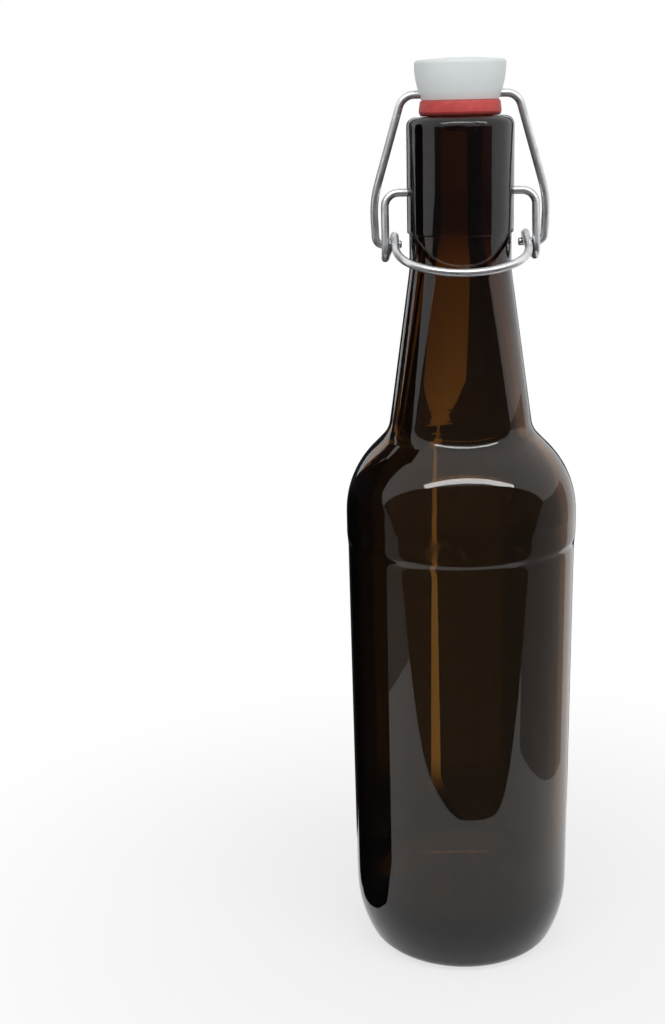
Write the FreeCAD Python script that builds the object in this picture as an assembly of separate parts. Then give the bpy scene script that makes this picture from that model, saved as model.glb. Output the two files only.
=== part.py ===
import FreeCAD, Part
import os
from math import atan2, cos, degrees, hypot, pi, radians, sin, tan

from FreeCAD import Rotation, Vector

# Swing top bottle: an amber half litre glass bottle with a wire swing stopper.
# Millimetres. The base rests on z = 0, the bottle's axis is Z, and both wires turn about X.
# The thumb loop of the lever is at the front, towards -Y.

# Bottle, outside
body_radius = 34.7
panel_recess = 0.35
heel_recess = 1.2
heel_height = 11.5
heel_round = 38.0
foot_inset = 5.5
foot_round = 6.0
panel_height = 119.7
ledge_height = 4.0
ledge_round = 12.0
ring_height = 17.8
shoulder_round = 28.0
shoulder_height = 13.6
root_radius = 21.5
root_round = 8.0
neck_height = 48.1
neck_round = 25.0
throat_height = 10.1
collar_step = 0.6
collar_height = 32.6
collar_foot_round = 0.25
lip_round = 2.6

# Bottle, inside
body_wall = 2.5
neck_wall = 3.3
base_wall = 4.5
inner_heel_round = 14.0
push_up_height = 4.0
push_up_radius = 21.5
push_up_flat = 8.0
push_up_round = 25.0
bearing_edge_round = 0.6
bore_radius = 8.5
collar_wall = 6.9
mouth_round = 0.9

# Pivot sockets in the collar
socket_drop = 21.0
socket_depth = 3.0
socket_mouth_radius = 2.5
socket_mouth_depth = 1.1

# Wires
wire_diameter = 2.3
pivot_clearance = 0.06
socket_end_gap = 0.3
wire_tip_round = 0.5

# Lever wire
leg_gap = 5.25
leg_bend = 4.0
leg_length = 15.2
coil_radius = 3.2
coil_gap = 0.5
lever_lean = 8.5
loop_slope = 33.0
loop_run = 6.6
loop_corner_radius = 12.0
loop_corner_turn = 55.0

# Bail wire
eye_clearance = 0.15
bail_gap = 0.35
pin_bend = 2.3
pin_overhang = 0.9
bail_bulge = 0.6
bulge_height = 12.5
bulge_bend = 30.0
bail_top_reach = 5.4
bail_top_bend = 4.5

# Stopper and gasket
seal_gap = 0.25
gasket_height = 4.1
gasket_seat_width = 1.7
gasket_rim_flare = 1.6
gasket_top_step = 0.4
gasket_rim_height = 1.3
gasket_round = 0.9
head_height = 11.6
head_base_step = 0.4
head_flare = 2.0
head_band_height = 5.2
head_side_round = 24.0
head_edge_round = 1.1
head_base_round = 0.5
crown_height = 0.6
crown_flat = 5.0
crown_round = 40.0
cross_hole_height = 1.75
stem_clearance = 0.05
barb_gap = 1.6
barb_step = 0.9
barb_height = 1.6
barb_round = 0.5
stem_tip_taper = 2.7
stem_tip_height = 2.6

# Drawing limits: the largest share of a run that its rounds may take, the shortest edge,
# and the spacing and least distance along the wire of the points that measure its gap to itself
round_share = 0.99
shortest_edge = 1e-6
gap_point_step = 0.4
gap_strand_apart = 9.0

# Levels and fits that follow from the sizes above
wire_radius = wire_diameter / 2
pivot_radius = wire_radius + pivot_clearance
heel_radius = body_radius - heel_recess
foot_radius = heel_radius - foot_inset
panel_radius = body_radius - panel_recess
collar_radius = bore_radius + collar_wall
neck_radius = collar_radius - collar_step
leg_offset = collar_radius + leg_gap + wire_radius
gasket_seat_radius = bore_radius + gasket_seat_width
gasket_radius = gasket_seat_radius + gasket_rim_flare
gasket_top_radius = gasket_radius - gasket_top_step
head_base_radius = gasket_top_radius - head_base_step
head_top_radius = head_base_radius + head_flare
bail_top_half = head_base_radius + bail_top_reach
barb_radius = bore_radius - barb_gap
stem_radius = barb_radius - barb_step
stem_tip_radius = barb_radius - stem_tip_taper
panel_top_z = heel_height + panel_height
shoulder_z = panel_top_z + ledge_height + ring_height
root_z = shoulder_z + shoulder_height
throat_z = root_z + neck_height
collar_z = throat_z + throat_height
lip_z = collar_z + collar_height
pivot_z = lip_z - socket_drop
gasket_z = lip_z + seal_gap
head_z = gasket_z + gasket_height
bail_z = head_z + cross_hole_height
head_top_z = head_z + head_height

PIVOT = Vector(0, 0, pivot_z)
X_AXIS = Vector(1, 0, 0)
Y_AXIS = Vector(0, 1, 0)
Z_AXIS = Vector(0, 0, 1)


def rounded_edges(corners):
    """Straight runs through corner points, each corner rounded by its own radius."""
    points = [Vector(*corner[:3]) for corner in corners]
    runs = [(b - a).Length for a, b in zip(points, points[1:])]
    headings = [(b - a).normalize() for a, b in zip(points, points[1:])]
    half_turns = [0.0] + [a.getAngle(b) / 2 for a, b in zip(headings, headings[1:])] + [0.0]
    setbacks = [corner[3] * tan(half) for corner, half in zip(corners, half_turns)]
    for i, run in enumerate(runs):
        taken = setbacks[i] + setbacks[i + 1]
        if taken > run:
            setbacks[i] *= round_share * run / taken
            setbacks[i + 1] *= round_share * run / taken
    edges = []
    here = points[0]
    for i in range(1, len(points) - 1):
        if setbacks[i] < shortest_edge:
            edges.append(Part.LineSegment(here, points[i]).toShape())
            here = points[i]
            continue
        start = points[i] - headings[i - 1] * setbacks[i]
        end = points[i] + headings[i] * setbacks[i]
        inward = (headings[i] - headings[i - 1]).normalize()
        radius = setbacks[i] / tan(half_turns[i])
        middle = points[i] + inward * (radius / cos(half_turns[i]) - radius)
        if (start - here).Length > shortest_edge:
            edges.append(Part.LineSegment(here, start).toShape())
        edges.append(Part.Arc(start, middle, end).toShape())
        here = end
    edges.append(Part.LineSegment(here, points[-1]).toShape())
    return edges


def turned(outline):
    """A solid of revolution about Z from corners (radius, height, round) that start and end on it."""
    corners = [(radius, 0, height, fillet) for radius, height, fillet in outline]
    edges = rounded_edges(corners)
    first = Vector(*corners[0][:3])
    last = Vector(*corners[-1][:3])
    edges.append(Part.LineSegment(last, first).toShape())
    return Part.Face(Part.Wire(edges)).revolve(Vector(0, 0, 0), Z_AXIS, 360)


def turned_ring(outline):
    """A ring of revolution about Z from a closed outline that stays off the axis."""
    corners = [(radius, 0, height, fillet) for radius, height, fillet in outline]
    wire = Part.Wire(rounded_edges(corners + corners[:1]))
    return Part.Face(wire).revolve(Vector(0, 0, 0), Z_AXIS, 360)


def cross_rod(radius, start_x, end_x, height):
    """A round rod along X on the bottle's middle plane."""
    return Part.makeCylinder(radius, end_x - start_x, Vector(start_x, 0, height), X_AXIS)


class BentWire:
    """The centre line of a wire, laid out as a bender makes it: runs and bends."""

    def __init__(self, start, heading):
        self.here = start
        self.heading = heading
        self.edges = []

    def run(self, length):
        end = self.here + self.heading * length
        self.edges.append(Part.LineSegment(self.here, end).toShape())
        self.here = end

    def bend(self, radius, turn, axis):
        """Turn the heading in degrees about an axis square to it, by the right-hand rule."""
        centre = self.here + axis.cross(self.heading) * radius
        arm = self.here - centre
        middle = centre + Rotation(axis, turn / 2).multVec(arm)
        end = centre + Rotation(axis, turn).multVec(arm)
        self.edges.append(Part.Arc(self.here, middle, end).toShape())
        self.heading = Rotation(axis, turn).multVec(self.heading)
        self.here = end


def least_strand_gap(path):
    """The least clear gap of a wire to itself, from points along its centre line."""
    points = path.discretize(Number=int(path.Length / gap_point_step))
    apart = int(gap_strand_apart / gap_point_step)
    spans = [(a - b).Length for i, a in enumerate(points) for b in points[i + apart:]]
    return min(spans) - wire_diameter


def drawn_wire(half_edges):
    """A round wire swept along one half of its centre line and the mirror image of that half."""
    mirrored = [edge.mirror(Vector(0, 0, 0), X_AXIS) for edge in half_edges]
    path = Part.Wire(Part.__sortEdges__(half_edges + mirrored))
    end = path.OrderedVertexes[0].Point
    section = Part.Wire(Part.makeCircle(wire_radius, end, X_AXIS))
    solid = path.makePipeShell([section], True, False)
    expected = path.Length * pi * wire_radius ** 2
    print("wire length %.1f, least gap to itself %.2f" % (path.Length, least_strand_gap(path)))
    print("wire volume %.2f, section times length %.2f" % (solid.Volume, expected))
    tips = [face.OuterWire.Edges[0] for face in solid.Faces if isinstance(face.Surface, Part.Plane)]
    return solid.makeFillet(wire_tip_round, tips)


def make_bottle():
    """Blown glass in one piece: body, neck, collar, mouth and push-up base."""
    ring_z = panel_top_z + ledge_height
    floor_z = push_up_height + base_wall
    glass = turned([
        (0, push_up_height, 0),
        (push_up_flat, push_up_height, push_up_round),
        (push_up_radius, 0, bearing_edge_round),
        (foot_radius, 0, foot_round),
        (heel_radius, heel_height, heel_round),
        (panel_radius, panel_top_z, ledge_round),
        (body_radius, ring_z, ledge_round),
        (body_radius, shoulder_z, shoulder_round),
        (root_radius, root_z, root_round),
        (neck_radius, throat_z, neck_round),
        (neck_radius, collar_z, collar_foot_round),
        (collar_radius, collar_z, collar_foot_round),
        (collar_radius, lip_z, lip_round),
        (bore_radius, lip_z, mouth_round),
        (bore_radius, collar_z, neck_round),
        (root_radius - neck_wall, root_z, root_round),
        (panel_radius - body_wall, shoulder_z - body_wall / 2, shoulder_round),
        (heel_radius - body_wall, floor_z - base_wall / 2, inner_heel_round),
        (push_up_flat, floor_z, push_up_round),
        (0, floor_z, 0),
    ])
    for side in (-1, 1):
        socket = cross_rod(pivot_radius, collar_radius - socket_depth, body_radius, pivot_z)
        mouth = Part.makeCone(
            pivot_radius,
            2 * socket_mouth_radius - pivot_radius,
            2 * socket_mouth_depth,
            Vector(collar_radius - socket_mouth_depth, 0, pivot_z),
            X_AXIS,
        )
        recess = socket.fuse(mouth).removeSplitter()
        if side < 0:
            recess = recess.mirror(Vector(0, 0, 0), X_AXIS)
        glass = glass.cut(recess)
    return glass


def coil_strand_offset():
    """How far from the axis the lever wire runs once it has wound its coil eye."""
    return leg_offset - wire_diameter - coil_gap


def make_lever():
    """The lower wire: tip, leg, one coil eye, then half of the front loop, and the same again."""
    tip_x = collar_radius - socket_depth + socket_end_gap
    strand_x = coil_strand_offset()
    wire = BentWire(Vector(tip_x, 0, pivot_z), Vector(1, 0, 0))
    wire.run(leg_offset - leg_bend - tip_x)
    wire.bend(leg_bend, 90, Y_AXIS)
    wire.run(leg_length - leg_bend)
    wire.bend(coil_radius, 90, X_AXIS)
    step_in = Vector(strand_x - leg_offset, 0, 2 * coil_radius)
    wire.bend(step_in.Length / 2, 180, Y_AXIS.cross(step_in).normalize())
    wire.bend(coil_radius, loop_slope, X_AXIS)
    wire.run(loop_run)
    across = X_AXIS.cross(wire.heading).normalize()
    corner = radians(loop_corner_turn)
    front_radius = (strand_x - loop_corner_radius * (1 - cos(corner))) / cos(corner)
    wire.bend(loop_corner_radius, loop_corner_turn, across)
    wire.bend(front_radius, 90 - loop_corner_turn, across)
    lever = drawn_wire(wire.edges)
    lever.rotate(PIVOT, X_AXIS, -lever_lean)
    return lever


def pin_centre():
    """Where the bail's pins hang under the top of the coil eyes, with the lever closed."""
    drop = leg_length - coil_radius + wire_diameter + eye_clearance
    lean = radians(lever_lean)
    y = coil_radius * cos(lean) - drop * sin(lean)
    z = pivot_z - coil_radius * sin(lean) - drop * cos(lean)
    return Vector(0, y, z)


def make_bail():
    """The upper wire: across the stopper, down outside the lever's legs, and in through the eyes."""
    pin = pin_centre()
    reach = hypot(bail_z - pin.z, pin.y)
    side_x = leg_offset + wire_diameter + bail_gap
    pin_end_x = coil_strand_offset() - wire_radius - pin_overhang
    half = rounded_edges([
        (0, 0, reach, 0),
        (bail_top_half, 0, reach, bail_top_bend),
        (side_x + bail_bulge, 0, bulge_height, bulge_bend),
        (side_x, 0, 0, pin_bend),
        (pin_end_x, 0, 0, 0),
    ])
    bail = drawn_wire(half)
    bail.rotate(Vector(0, 0, 0), X_AXIS, degrees(atan2(pin.y, bail_z - pin.z)))
    bail.translate(pin)
    return bail


def make_stopper():
    """Moulded head on a barbed stem that holds the gasket, with a cross hole for the bail."""
    band_z = head_top_z - head_band_height
    barb_z = gasket_z - barb_height
    head = turned([
        (0, head_top_z, 0),
        (crown_flat, head_top_z, crown_round),
        (head_top_radius, head_top_z - crown_height, head_edge_round),
        (head_top_radius, band_z, head_side_round),
        (head_base_radius, head_z, head_base_round),
        (stem_radius, head_z, 0),
        (stem_radius, gasket_z, 0),
        (barb_radius, gasket_z, barb_round),
        (barb_radius, barb_z, barb_round),
        (stem_tip_radius, barb_z - stem_tip_height, barb_round),
        (0, barb_z - stem_tip_height, 0),
    ])
    return head.cut(cross_rod(pivot_radius, -body_radius, body_radius, bail_z))


def make_gasket():
    """Rubber ring under the head, with a rounded rim and a tapered underside."""
    inner_radius = stem_radius + stem_clearance
    return turned_ring([
        (inner_radius, gasket_z, 0),
        (inner_radius, head_z, 0),
        (gasket_top_radius, head_z, gasket_round),
        (gasket_radius, gasket_z + gasket_rim_height, gasket_round),
        (gasket_seat_radius, gasket_z, gasket_round),
    ])


pieces = {
    "bottle": make_bottle,
    "lever_wire": make_lever,
    "bail_wire": make_bail,
    "stopper": make_stopper,
    "gasket": make_gasket,
}
os.makedirs("parts", exist_ok=True)
for name, make in pieces.items():
    solid = make()
    print(name, solid.isValid(), len(solid.Solids), "volume %.1f" % solid.Volume)
    solid.exportStep("parts/%s.step" % name)

pin = pin_centre()
print("lip %.2f, top %.2f, lever pivot z %.3f" % (lip_z, head_top_z, pivot_z))
print("bail pivot y %.3f z %.3f, stopper pivot z %.3f" % (pin.y, pin.z, bail_z))
print("bail to lever turn ratio %.4f" % ((pivot_z - pin.z) / (bail_z - pin.z)))
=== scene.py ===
from math import atan2, cos, pi, radians, sin

import bmesh
import bpy
from mathutils import Matrix, Vector


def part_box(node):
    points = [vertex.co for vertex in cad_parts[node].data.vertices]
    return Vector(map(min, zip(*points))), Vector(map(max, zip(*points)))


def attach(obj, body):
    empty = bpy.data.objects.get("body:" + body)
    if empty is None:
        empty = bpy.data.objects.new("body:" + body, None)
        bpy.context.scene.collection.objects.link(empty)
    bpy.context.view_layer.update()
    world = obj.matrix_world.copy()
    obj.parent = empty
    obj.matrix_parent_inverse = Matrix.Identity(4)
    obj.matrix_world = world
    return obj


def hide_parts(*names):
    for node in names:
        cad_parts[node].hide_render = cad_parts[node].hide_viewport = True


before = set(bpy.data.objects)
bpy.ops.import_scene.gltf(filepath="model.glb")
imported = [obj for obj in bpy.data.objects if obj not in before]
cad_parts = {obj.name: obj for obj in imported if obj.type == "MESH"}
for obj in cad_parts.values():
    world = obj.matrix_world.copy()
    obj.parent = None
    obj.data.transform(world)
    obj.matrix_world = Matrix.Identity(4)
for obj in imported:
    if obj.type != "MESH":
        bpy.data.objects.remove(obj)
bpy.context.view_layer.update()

# The bottle: amber glass, blown in a mould of two halves and then fire-polished.
# Its walls are about as thin as a coin and the collar and base are thick, so the colour deepens
# there. Fine cords in the glass run down its walls, and crates have rubbed the ring dull in places.


class Shade:
    """A value in a material: operators on it add Math nodes, and add() puts in any other node."""

    def __init__(self, tree, socket=None):
        self.tree = tree
        self.socket = socket

    def add(self, kind, settings=None, sockets=None, out=0):
        node = self.tree.nodes.new("ShaderNode" + kind)
        for name, value in (settings or {}).items():
            if name == "stops":
                ramp = node.color_ramp.elements
                while len(ramp) < len(value):
                    ramp.new(1.0)
                for stop, (place, colour) in zip(ramp, value):
                    stop.position = place
                    stop.color = (*colour, 1.0)
            else:
                setattr(node, name, value)
        for name, value in (sockets or {}).items():
            if isinstance(value, Shade):
                self.tree.links.new(value.socket, node.inputs[name])
            else:
                node.inputs[name].default_value = value
        return Shade(self.tree, node.outputs[out])

    def math(self, operation, first, second):
        return self.add("Math", {"operation": operation}, {0: first, 1: second})

    def __add__(self, other):
        return self.math("ADD", self, other)

    def __radd__(self, other):
        return self.math("ADD", other, self)

    def __sub__(self, other):
        return self.math("SUBTRACT", self, other)

    def __rsub__(self, other):
        return self.math("SUBTRACT", other, self)

    def __mul__(self, other):
        return self.math("MULTIPLY", self, other)

    def __rmul__(self, other):
        return self.math("MULTIPLY", other, self)

    def __abs__(self):
        return self.add("Math", {"operation": "ABSOLUTE"}, {0: self})

    def step(self, low, high):
        """0 below low and 1 above high, smooth between, or the other way round if low is the larger."""
        sockets = {"Value": self, "From Min": low, "From Max": high}
        return self.add("MapRange", {"interpolation_type": "SMOOTHSTEP"}, sockets)


def new_material(name):
    """A material with an empty node tree, and the handle that fills it."""
    material = bpy.data.materials.new(name)
    material.use_nodes = True
    material.node_tree.nodes.clear()
    return material, Shade(material.node_tree)


def show(shade, kind, **ends):
    """Links the finished shaders to a material's or a world's output."""
    output = shade.tree.nodes.new("ShaderNodeOutput" + kind)
    for name, end in ends.items():
        shade.tree.links.new(end.socket, output.inputs[name])


def dress(node, material):
    """Gives a CAD node its own finish."""
    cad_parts[node].data.materials.clear()
    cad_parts[node].data.materials.append(material)


ledge_foot, ledge_top = 0.1322, 0.1345
rub_low, rub_high, rub_fade = 0.137, 0.140, 0.0035
amber, glass = new_material("amber_glass")
place = glass.add("TexCoord", out=3)
z = glass.add("SeparateXYZ", None, {"Vector": place}, out=2)
ripple = glass.add("TexNoise", None, {"Vector": place, "Scale": 38.0, "Detail": 1.0})
drawn = glass.add("Mapping", None, {"Vector": place, "Scale": (240.0, 240.0, 9.0)})
cords = glass.add("TexNoise", None, {"Vector": drawn, "Scale": 1.0, "Detail": 2.0})
smear = glass.add(
    "TexNoise", None, {"Vector": place, "Scale": 130.0, "Detail": 5.0, "Roughness": 0.7}
)
ring_band = z.step(rub_low - rub_fade, rub_low) * z.step(rub_high + rub_fade, rub_high)
rubbed = ring_band * smear.step(0.45, 0.7)
tint = glass.add(
    "ValToRGB",
    {"stops": [(0.35, (0.77, 0.69, 0.52)), (0.65, (0.83, 0.75, 0.58))]},
    {"Fac": cords},
)
ledge = glass.add(
    "Bump", None, {"Strength": 1.0, "Distance": 0.0004, "Height": z.step(ledge_foot, ledge_top)}
)
relief = glass.add(
    "Bump",
    None,
    {"Strength": 0.12, "Distance": 0.001, "Height": ripple * 0.5 + cords * 0.03, "Normal": ledge},
)
clear = glass.add(
    "BsdfPrincipled",
    None,
    {
        "Base Color": tint,
        "Roughness": smear.step(0.62, 0.8) * 0.05 + rubbed * 0.22,
        "IOR": 1.5,
        "Transmission Weight": 1.0,
        "Normal": relief,
    },
)
body_colour = glass.add(
    "VolumeAbsorption", None, {"Color": (0.508, 0.338, 0.0, 1.0), "Density": 650.0}
)
show(glass, "Material", Surface=clear, Volume=body_colour)
dress("bottle", amber)

# The lever and the bail: drawn steel wire with a bright zinc coat, bent cold round formers.
# The lever's tips spring into the glass sockets, and the bail's pins turn in the lever's coils.
zinc, coat = new_material("zinc_wire")
place = coat.add("TexCoord", out=3)
grain = coat.add("TexNoise", None, {"Vector": place, "Scale": 1400.0, "Detail": 3.0})
dull = coat.add(
    "TexNoise", None, {"Vector": place, "Scale": 210.0, "Detail": 3.0, "Roughness": 0.6}
)
metal = coat.add(
    "ValToRGB",
    {
        "stops": [
            (0.30, (0.50, 0.51, 0.52)),
            (0.55, (0.70, 0.71, 0.72)),
            (0.75, (0.82, 0.82, 0.82)),
        ]
    },
    {"Fac": dull},
)
stain = dull.step(0.6, 0.4)
plated = coat.add(
    "BsdfPrincipled",
    None,
    {
        "Base Color": metal,
        "Metallic": 0.96 - stain * 0.15,
        "Roughness": 0.22 + grain * 0.12 + stain * 0.1,
        "Normal": coat.add("Bump", None, {"Strength": 0.12, "Distance": 0.0002, "Height": grain}),
    },
)
show(coat, "Material", Surface=plated)
dress("lever_wire", zinc)
dress("bail_wire", zinc)

# The stopper: one moulding in white plastic, a little translucent, threaded on the bail.
# Its mould parts along the bail, and the plastic entered at the middle of the crown. Towards its
# lower edge, next to the rubber, the white is mixed with a little red.
crown_low, crown_high = 0.270, 0.272
gate_outer, gate_inner = 0.0017, 0.0013
seam_outer, seam_inner = 0.0004, 0.0001
seam_start, seam_full = 0.009, 0.0105
blush_top, blush_full = 0.2645, 0.2617
plastic, skin = new_material("white_plastic")
place = skin.add("TexCoord", out=3)
y, z = (skin.add("SeparateXYZ", None, {"Vector": place}, out=axis) for axis in (1, 2))
mottle = skin.add("TexNoise", None, {"Vector": place, "Scale": 320.0, "Detail": 4.0})
cloud = skin.add("TexNoise", None, {"Vector": place, "Scale": 60.0, "Detail": 2.0})
level = skin.add("VectorMath", {"operation": "MULTIPLY"}, {0: place, 1: (1.0, 1.0, 0.0)})
reach = skin.add("VectorMath", {"operation": "LENGTH"}, {0: level}, out=1)
gate = reach.step(gate_outer, gate_inner) * z.step(crown_low, crown_high)
parting = abs(y).step(seam_outer, seam_inner) * reach.step(seam_start, seam_full)
white = skin.add(
    "ValToRGB",
    {"stops": [(0.35, (0.71, 0.75, 0.755)), (0.65, (0.77, 0.81, 0.81))]},
    {"Fac": cloud},
)
blush = skin.add(
    "Mix",
    {"data_type": "RGBA"},
    {"Factor": z.step(blush_top, blush_full) * 0.45, 6: white, 7: (0.72, 0.50, 0.49, 1.0)},
    out=2,
)
dents = skin.add(
    "Bump",
    None,
    {"Strength": 0.25, "Distance": 0.0003, "Height": mottle * 0.15 + parting * 0.5 - gate * 0.8},
)
moulded = skin.add(
    "BsdfPrincipled",
    None,
    {
        "Base Color": blush,
        "Roughness": 0.36 + mottle * 0.12,
        "IOR": 1.48,
        "Subsurface Weight": 0.25,
        "Subsurface Radius": (0.003, 0.0028, 0.0028),
        "Normal": dents,
    },
)
show(skin, "Material", Surface=moulded)
dress("stopper", plastic)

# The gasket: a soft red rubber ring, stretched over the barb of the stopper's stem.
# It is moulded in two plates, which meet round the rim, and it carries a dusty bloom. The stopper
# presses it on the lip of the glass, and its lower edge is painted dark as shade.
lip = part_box("bottle")[1].z
ring_seat = lip + 0.00008
ring_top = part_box("gasket")[1].z
rim_height = lip + 0.0013
# Painted shade: the band where the lower edge of the rubber is darkened.
painted_shade_top, painted_shade_full = lip + 0.0012, lip + 0.0005
ring_bore, seat_radius, rim_radius, top_radius = 0.00605, 0.0113, 0.0118, 0.0114
rim_round = 0.0004
rubber, bloom = new_material("red_rubber")
place = bloom.add("TexCoord", out=3)
z = bloom.add("SeparateXYZ", None, {"Vector": place}, out=2)
dust = bloom.add("TexNoise", None, {"Vector": place, "Scale": 420.0, "Detail": 5.0})
flash = abs(z - rim_height).step(0.00022, 0.00006)
red = bloom.add(
    "ValToRGB",
    {"stops": [(0.30, (0.46, 0.040, 0.038)), (0.70, (0.60, 0.075, 0.070))]},
    {"Fac": dust},
)
# Painted shade: the red is mixed towards near-black at the lower edge, where shade falls under the
# ring.
painted_shade_red = bloom.add(
    "Mix",
    {"data_type": "RGBA"},
    {"Factor": z.step(painted_shade_top, painted_shade_full) * 0.75, 6: red, 7: (0.10, 0.012, 0.010, 1.0)},
    out=2,
)
pores = bloom.add(
    "Bump", None, {"Strength": 0.3, "Distance": 0.0002, "Height": dust * 0.3 + flash}
)
soft = bloom.add(
    "BsdfPrincipled",
    None,
    {"Base Color": painted_shade_red, "Roughness": 0.42 + dust * 0.2, "Normal": pores},
)
show(bloom, "Material", Surface=soft)

profile = (
    (ring_bore, ring_seat),
    (seat_radius, ring_seat),
    (rim_radius, rim_height),
    (top_radius, ring_top),
    (ring_bore, ring_top),
)
form = bmesh.new()
corners = [form.verts.new((radius, 0.0, height)) for radius, height in profile]
sides = [form.edges.new((corner, corners[i - 1])) for i, corner in enumerate(corners)]
bmesh.ops.spin(form, geom=corners + sides, axis=(0, 0, 1), angle=2 * pi, steps=96, use_merge=True)
bmesh.ops.remove_doubles(form, verts=form.verts, dist=0.00001)
rims = [
    edge
    for edge in form.edges
    if abs(edge.verts[0].co.z - edge.verts[1].co.z) < 1e-6 and edge.calc_length() < 0.001
]
bmesh.ops.bevel(
    form, geom=rims, offset=rim_round, affect="EDGES", segments=4, profile=0.5, material=-1
)
bmesh.ops.recalc_face_normals(form, faces=form.faces)
for face in form.faces:
    face.smooth = True
mesh = bpy.data.meshes.new("rubber_ring")
form.to_mesh(mesh)
form.free()
mesh.materials.append(rubber)
ring = bpy.data.objects.new("rubber_ring", mesh)
bpy.context.scene.collection.objects.link(ring)
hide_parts("gasket")
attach(ring, "stopper")

# The studio: a white paper floor in a white surround, and one long soft lamp above the front.
# Bent cards stand where the glass mirrors them, and dark posts and a shaded patch of floor stand
# where the glass shows them. The camera doesn't see these straight, and they aren't part of the object.


def stage_piece(name, form, material, unseen=()):
    """A piece of the studio from a bmesh, which isn't part of the object, hidden from some rays."""
    mesh = bpy.data.meshes.new(name)
    form.to_mesh(mesh)
    form.free()
    mesh.materials.append(material)
    piece = bpy.data.objects.new(name, mesh)
    bpy.context.scene.collection.objects.link(piece)
    for ray in unseen:
        setattr(piece, "visible_" + ray, False)


def direct_rays(shade):
    """1 on what the viewer sees, straight, mirrored or through glass, and 0 on scattered light."""
    path = shade.add("LightPath").socket.node
    kinds = ("Is Camera Ray", "Is Glossy Ray", "Is Transmission Ray")
    seen, mirrored, through = (Shade(shade.tree, path.outputs[kind]) for kind in kinds)
    return seen + mirrored + through


shadow_core, shadow_edge, shadow_glow = 0.04, 0.24, 0.7
paper, sheet = new_material("white_paper")
spread = sheet.add("VectorMath", {"operation": "LENGTH"}, {0: sheet.add("TexCoord", out=3)}, out=1)
lit = shadow_glow + (1 - shadow_glow) * spread.step(shadow_core, shadow_edge)
bright = direct_rays(sheet) * lit
matte = sheet.add("BsdfDiffuse", None, {"Color": (0.9, 0.9, 0.9, 1.0)})
glow = sheet.add("Emission", None, {"Color": (1.0, 1.0, 1.0, 1.0), "Strength": 1.0})
show(sheet, "Material", Surface=sheet.add("MixShader", None, {0: bright, 1: matte, 2: glow}))
form = bmesh.new()
bmesh.ops.create_grid(form, x_segments=1, y_segments=1, size=4.0)
stage_piece("floor", form, paper)


def flat_paint(name, colour):
    """A material that is one matte colour all over."""
    material, paint = new_material(name)
    show(paint, "Material", Surface=paint.add("BsdfDiffuse", None, {"Color": (*colour, 1.0)}))
    return material


felt = flat_paint("dark_felt", (0.18, 0.18, 0.19))
chalk = flat_paint("white_card", (0.75, 0.75, 0.75))
black = flat_paint("black_paint", (0.04, 0.04, 0.045))
indirect_only = ("camera", "diffuse", "volume_scatter", "shadow")


def bent_card(name, material, distance, first, last, foot, crest):
    """A card bent round the bottle between two turns from the front, in degrees.

    Its lower and upper edges are functions of the turn, in radians.
    """
    form = bmesh.new()
    edge = form.edges.new([form.verts.new((0.0, -distance, end)) for end in (0.0, 1.0)])
    start = Matrix.Rotation(radians(first), 3, "Z")
    bmesh.ops.rotate(form, verts=edge.verts, cent=(0, 0, 0), matrix=start)
    sweep = radians(last - first)
    bmesh.ops.spin(form, geom=[*edge.verts, edge], axis=(0, 0, 1), angle=sweep, steps=60)
    for vert in form.verts:
        turn = atan2(vert.co.x, -vert.co.y)
        vert.co.z = crest(turn) if vert.co.z > 0.5 else foot(turn)
    stage_piece(name, form, material, (*indirect_only, "transmission"))


arch_middle, arch_reach = radians(-1), radians(78.3)
arch_waist, arch_rise, left_rise = 0.164, 0.119, 0.014
crest_power, foot_power = 0.694, 7.4
right_low, right_bend, right_lowest = 0.0036, 0.0302, radians(97)
left_low, left_slope, left_end = 0.0585, 0.04, radians(-55)
card_top = 0.17


def arch_swing(turn):
    """0 at the middle of the dark card and a quarter of a circle at its ends."""
    return abs(turn - arch_middle) / arch_reach * pi / 2


def arch_crest(turn):
    return arch_waist + arch_rise * cos(arch_swing(turn)) ** crest_power


def arch_foot(turn):
    swing = arch_swing(turn)
    lifted = left_rise * sin(2 * swing) ** 2 if turn < 0 else 0.0
    return arch_waist * sin(swing) ** foot_power + lifted


def right_foot(turn):
    return right_low + right_bend * (turn - right_lowest) ** 2


def left_foot(turn):
    return left_low + left_slope * (turn - left_end)


bent_card("dark_card", felt, 0.137, -79, 77, arch_foot, arch_crest)
bent_card("far_card", felt, 0.9, -60, 65, lambda turn: 0.15, lambda turn: 0.26)
bent_card("right_card", chalk, 0.142, 52, 115, right_foot, lambda turn: card_top)
bent_card("left_card", chalk, 0.142, -82, -50, left_foot, lambda turn: card_top)

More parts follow.
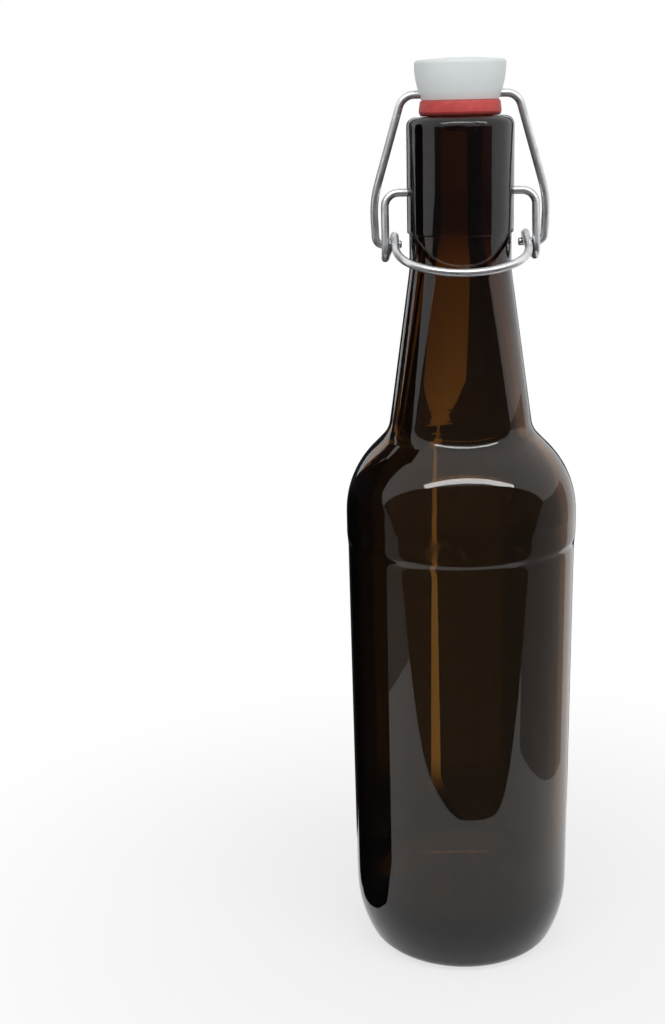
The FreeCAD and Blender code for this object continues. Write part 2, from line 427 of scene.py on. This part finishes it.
post_outline = (
    (0.028, 0.0),
    (0.0335, 0.0115),
    (0.0351, 0.148),
    (0.0215, 0.167),
    (0.0150, 0.215),
    (0.0154, 0.257),
    (0.0110, 0.258),
    (0.0130, 0.273),
)
post_spots = ((-0.074, 0.006), (-0.113, 0.090), (-0.0387, 0.090), (0.0327, 0.090))
for number, spot in enumerate(post_spots):
    foot = Vector((*spot, 0.0))
    form = bmesh.new()
    corners = [form.verts.new(foot + Vector((radius, 0.0, height))) for radius, height in post_outline]
    sides = [form.edges.new(pair) for pair in zip(corners, corners[1:])]
    bmesh.ops.spin(
        form, geom=corners + sides, cent=foot, axis=(0, 0, 1), angle=2 * pi, steps=64, use_merge=True
    )
    bmesh.ops.recalc_face_normals(form, faces=form.faces)
    stage_piece(f"dark_post_{number}", form, black, indirect_only)

shade_middle = Vector((-0.005, 0.035, 0.0002))
shade_core, shade_edge = 0.06, 0.1
dusk, patch = new_material("floor_shade")
sockets = {0: patch.add("TexCoord", out=3), 1: shade_middle}
away = patch.add("VectorMath", {"operation": "DISTANCE"}, sockets, out=1)
fade = patch.add("Emission", None, {"Color": away.step(shade_core, shade_edge), "Strength": 1.0})
show(patch, "Material", Surface=fade)
form = bmesh.new()
spot = Matrix.Translation(shade_middle)
bmesh.ops.create_grid(form, x_segments=1, y_segments=1, size=shade_edge, matrix=spot)
stage_piece("floor_shade", form, dusk, (*indirect_only, "glossy"))

world = bpy.data.worlds.new("surround")
bpy.context.scene.world = world
world.use_nodes = True
world.node_tree.nodes.clear()
room = Shade(world.node_tree)
room_light = 0.45
strength = room_light + (1 - room_light) * direct_rays(room)
air = room.add("Background", None, {"Color": (1.0, 1.0, 1.0, 1.0), "Strength": strength})
show(room, "World", Surface=air)

lamp_place, lamp_tilt = (0.12, -0.448, 0.779), radians(34)
lamp = bpy.data.lights.new("front_lamp", "AREA")
lamp.shape = "RECTANGLE"
lamp.size = 1.34
lamp.size_y = 0.085
lamp.energy = 3.9
holder = bpy.data.objects.new("front_lamp", lamp)
holder.matrix_world = Matrix.Translation(lamp_place) @ Matrix.Rotation(lamp_tilt, 4, "X")
bpy.context.scene.collection.objects.link(holder)

eye, look_down, roll = (-0.039, -0.4428, 0.2631), radians(15.35), radians(-1.39)
lens = bpy.data.cameras.new("viewer")
lens.sensor_width = 36.0
lens.lens = 52.98
viewer = bpy.data.objects.new("viewer", lens)
tilt = Matrix.Rotation(pi / 2 - look_down, 4, "X") @ Matrix.Rotation(roll, 4, "Z")
viewer.matrix_world = Matrix.Translation(eye) @ tilt
bpy.context.scene.collection.objects.link(viewer)
bpy.context.scene.camera = viewer
bpy.context.scene.view_settings.view_transform = "Standard"
